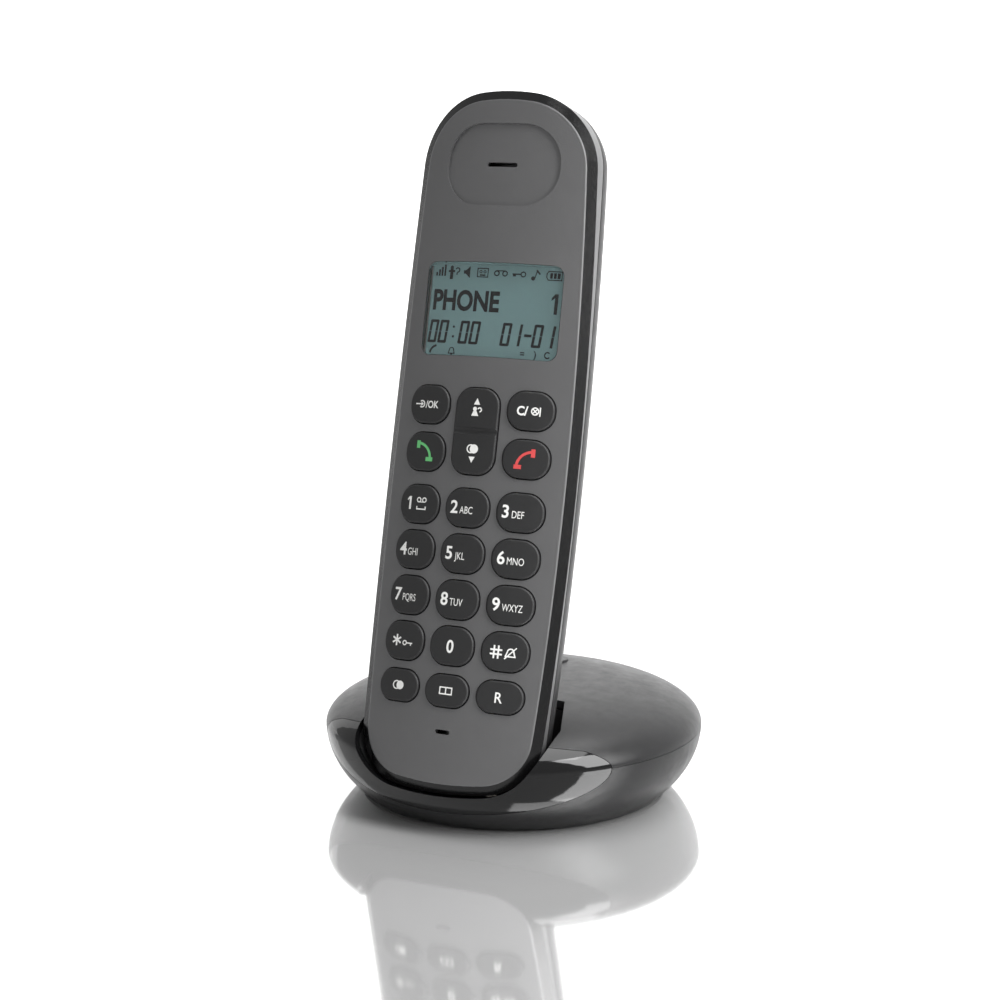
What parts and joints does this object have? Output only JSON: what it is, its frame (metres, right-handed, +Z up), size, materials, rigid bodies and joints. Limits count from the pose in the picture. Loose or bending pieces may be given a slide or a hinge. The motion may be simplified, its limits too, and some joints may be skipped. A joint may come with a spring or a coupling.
{
  "type": "cordless phone with charging base",
  "caption": "Cordless telephone handset with display and rounded keypad, leaning back in the notch of a low round charging base.",
  "frame": {"origin": "on the table, under the centre of the round base", "axes": "+Z up; -Y is the side that the keypad faces; +X is to the right of someone looking at the keypad"},
  "size_m": [0.0914, 0.0899, 0.1671],
  "materials": {
    "face_grey": "fine metallic grey lacquer over plastic, satin",
    "shell_dark": "satin dark plastic",
    "bezel_black": "piano gloss black",
    "key_black": "soft matte keys with pale printed legends",
    "window_clear": "clear acrylic",
    "lcd": "grey-green display glass",
    "frame_white": "white moulded plastic",
    "board_green": "green solder mask",
    "dome_film": "thin polyester film",
    "sound_metal": "stamped capsule",
    "copper": "plated copper",
    "tray_black": "moulded black",
    "cell_sleeve": "printed green sleeve",
    "contact_metal": "nickel plate",
    "screw_steel": "zinc plate",
    "rubber": "soft rubber",
    "socket_black": "moulded black",
    "part_dark": "sleeved component",
    "button_grey": "satin dark plastic"
  },
  "bodies": {
    "base": {"base_lower_shell": "shell_dark", "base_upper_shell": "shell_dark", "base_front_bezel": "bezel_black", "cradle_well": "shell_dark", "line_socket": "socket_black", "power_socket": "socket_black", "base_board": "board_green", "ballast_plate": "screw_steel", "capacitor": "part_dark", "inductor": "part_dark", "pager_switch": "socket_black", "base_foot_front_right": "rubber", "base_foot_front_left": "rubber", "base_foot_rear_right": "rubber", "base_foot_rear_left": "rubber", "base_screws": "screw_steel"},
    "handset": {"handset_front_cover": "face_grey", "handset_rear_cover": "shell_dark", "display_window": "window_clear", "lcd_panel": "lcd", "lcd_frame": "frame_white", "handset_board": "board_green", "key_dome_sheet": "dome_film", "earpiece": "sound_metal", "microphone": "sound_metal", "sounder": "sound_metal", "handset_antenna": "copper", "battery_tray": "tray_black", "battery_cell_left": "cell_sleeve", "battery_cell_right": "cell_sleeve", "battery_contact_lower": "contact_metal", "battery_contact_upper": "contact_metal", "handset_screws": "screw_steel", "charge_pad_left": "contact_metal", "charge_pad_right": "contact_metal"},
    "battery_door": {"battery_door": "shell_dark"},
    "pager_button": {"pager_button": "button_grey"},
    "charge_contact_left": {"charge_contact_left": "contact_metal"},
    "charge_contact_right": {"charge_contact_right": "contact_metal"},
    "key_nav": {"key_nav": "key_black"},
    "key_ok": {"key_ok": "key_black"},
    "key_clear": {"key_clear": "key_black"},
    "key_talk": {"key_talk": "key_black"},
    "key_end": {"key_end": "key_black"},
    "key_1": {"key_1": "key_black"},
    "key_2": {"key_2": "key_black"},
    "key_3": {"key_3": "key_black"},
    "key_4": {"key_4": "key_black"},
    "key_5": {"key_5": "key_black"},
    "key_6": {"key_6": "key_black"},
    "key_7": {"key_7": "key_black"},
    "key_8": {"key_8": "key_black"},
    "key_9": {"key_9": "key_black"},
    "key_star": {"key_star": "key_black"},
    "key_0": {"key_0": "key_black"},
    "key_hash": {"key_hash": "key_black"},
    "key_redial": {"key_redial": "key_black"},
    "key_book": {"key_book": "key_black"},
    "key_recall": {"key_recall": "key_black"}
  },
  "joints": [
    {"name": "handset_lift", "type": "slide", "parent": "base", "child": "handset", "axis": [0, 0.2512, 0.9679], "range_m": [0, 0.06]},
    {"name": "battery_door_removal", "type": "slide", "parent": "handset", "child": "battery_door", "axis": [0, 0.9679, -0.2512], "range_m": [0, 0.006]},
    {"name": "pager_press", "type": "slide", "parent": "base", "child": "pager_button", "axis": [0, 0, -1], "range_m": [0, 0.0008], "stiffness_N_per_m": 1200},
    {"name": "charge_contact_left_dip", "type": "slide", "parent": "base", "child": "charge_contact_left", "axis": [0, 0.2512, 0.9679], "range_m": [-0.0006, 0], "stiffness_N_per_m": 500},
    {"name": "charge_contact_right_dip", "type": "slide", "parent": "base", "child": "charge_contact_right", "axis": [0, 0.2512, 0.9679], "range_m": [-0.0006, 0], "stiffness_N_per_m": 500},
    {"name": "key_nav_rock", "type": "hinge", "parent": "handset", "child": "key_nav", "pos_m": [0, -0.01631, 0.08908], "axis": [1, 0, 0], "range_deg": [-2, 2], "stiffness_Nm_per_rad": 0.25},
    {"name": "key_ok_press", "type": "slide", "parent": "handset", "child": "key_ok", "axis": [0, 0.9679, -0.2512], "range_m": [0, 0.0008], "stiffness_N_per_m": 900},
    {"name": "key_clear_press", "type": "slide", "parent": "handset", "child": "key_clear", "axis": [0, 0.9679, -0.2512], "range_m": [0, 0.0008], "stiffness_N_per_m": 900},
    {"name": "key_talk_press", "type": "slide", "parent": "handset", "child": "key_talk", "axis": [0, 0.9679, -0.2512], "range_m": [0, 0.0008], "stiffness_N_per_m": 900},
    {"name": "key_end_press", "type": "slide", "parent": "handset", "child": "key_end", "axis": [0, 0.9679, -0.2512], "range_m": [0, 0.0008], "stiffness_N_per_m": 900},
    {"name": "key_1_press", "type": "slide", "parent": "handset", "child": "key_1", "axis": [0, 0.9679, -0.2512], "range_m": [0, 0.0008], "stiffness_N_per_m": 900},
    {"name": "key_2_press", "type": "slide", "parent": "handset", "child": "key_2", "axis": [0, 0.9679, -0.2512], "range_m": [0, 0.0008], "stiffness_N_per_m": 900},
    {"name": "key_3_press", "type": "slide", "parent": "handset", "child": "key_3", "axis": [0, 0.9679, -0.2512], "range_m": [0, 0.0008], "stiffness_N_per_m": 900},
    {"name": "key_4_press", "type": "slide", "parent": "handset", "child": "key_4", "axis": [0, 0.9679, -0.2512], "range_m": [0, 0.0008], "stiffness_N_per_m": 900},
    {"name": "key_5_press", "type": "slide", "parent": "handset", "child": "key_5", "axis": [0, 0.9679, -0.2512], "range_m": [0, 0.0008], "stiffness_N_per_m": 900},
    {"name": "key_6_press", "type": "slide", "parent": "handset", "child": "key_6", "axis": [0, 0.9679, -0.2512], "range_m": [0, 0.0008], "stiffness_N_per_m": 900},
    {"name": "key_7_press", "type": "slide", "parent": "handset", "child": "key_7", "axis": [0, 0.9679, -0.2512], "range_m": [0, 0.0008], "stiffness_N_per_m": 900},
    {"name": "key_8_press", "type": "slide", "parent": "handset", "child": "key_8", "axis": [0, 0.9679, -0.2512], "range_m": [0, 0.0008], "stiffness_N_per_m": 900},
    {"name": "key_9_press", "type": "slide", "parent": "handset", "child": "key_9", "axis": [0, 0.9679, -0.2512], "range_m": [0, 0.0008], "stiffness_N_per_m": 900},
    {"name": "key_star_press", "type": "slide", "parent": "handset", "child": "key_star", "axis": [0, 0.9679, -0.2512], "range_m": [0, 0.0008], "stiffness_N_per_m": 900},
    {"name": "key_0_press", "type": "slide", "parent": "handset", "child": "key_0", "axis": [0, 0.9679, -0.2512], "range_m": [0, 0.0008], "stiffness_N_per_m": 900},
    {"name": "key_hash_press", "type": "slide", "parent": "handset", "child": "key_hash", "axis": [0, 0.9679, -0.2512], "range_m": [0, 0.0008], "stiffness_N_per_m": 900},
    {"name": "key_redial_press", "type": "slide", "parent": "handset", "child": "key_redial", "axis": [0, 0.9679, -0.2512], "range_m": [0, 0.0008], "stiffness_N_per_m": 900},
    {"name": "key_book_press", "type": "slide", "parent": "handset", "child": "key_book", "axis": [0, 0.9679, -0.2512], "range_m": [0, 0.0008], "stiffness_N_per_m": 900},
    {"name": "key_recall_press", "type": "slide", "parent": "handset", "child": "key_recall", "axis": [0, 0.9679, -0.2512], "range_m": [0, 0.0008], "stiffness_N_per_m": 900}
  ]
}
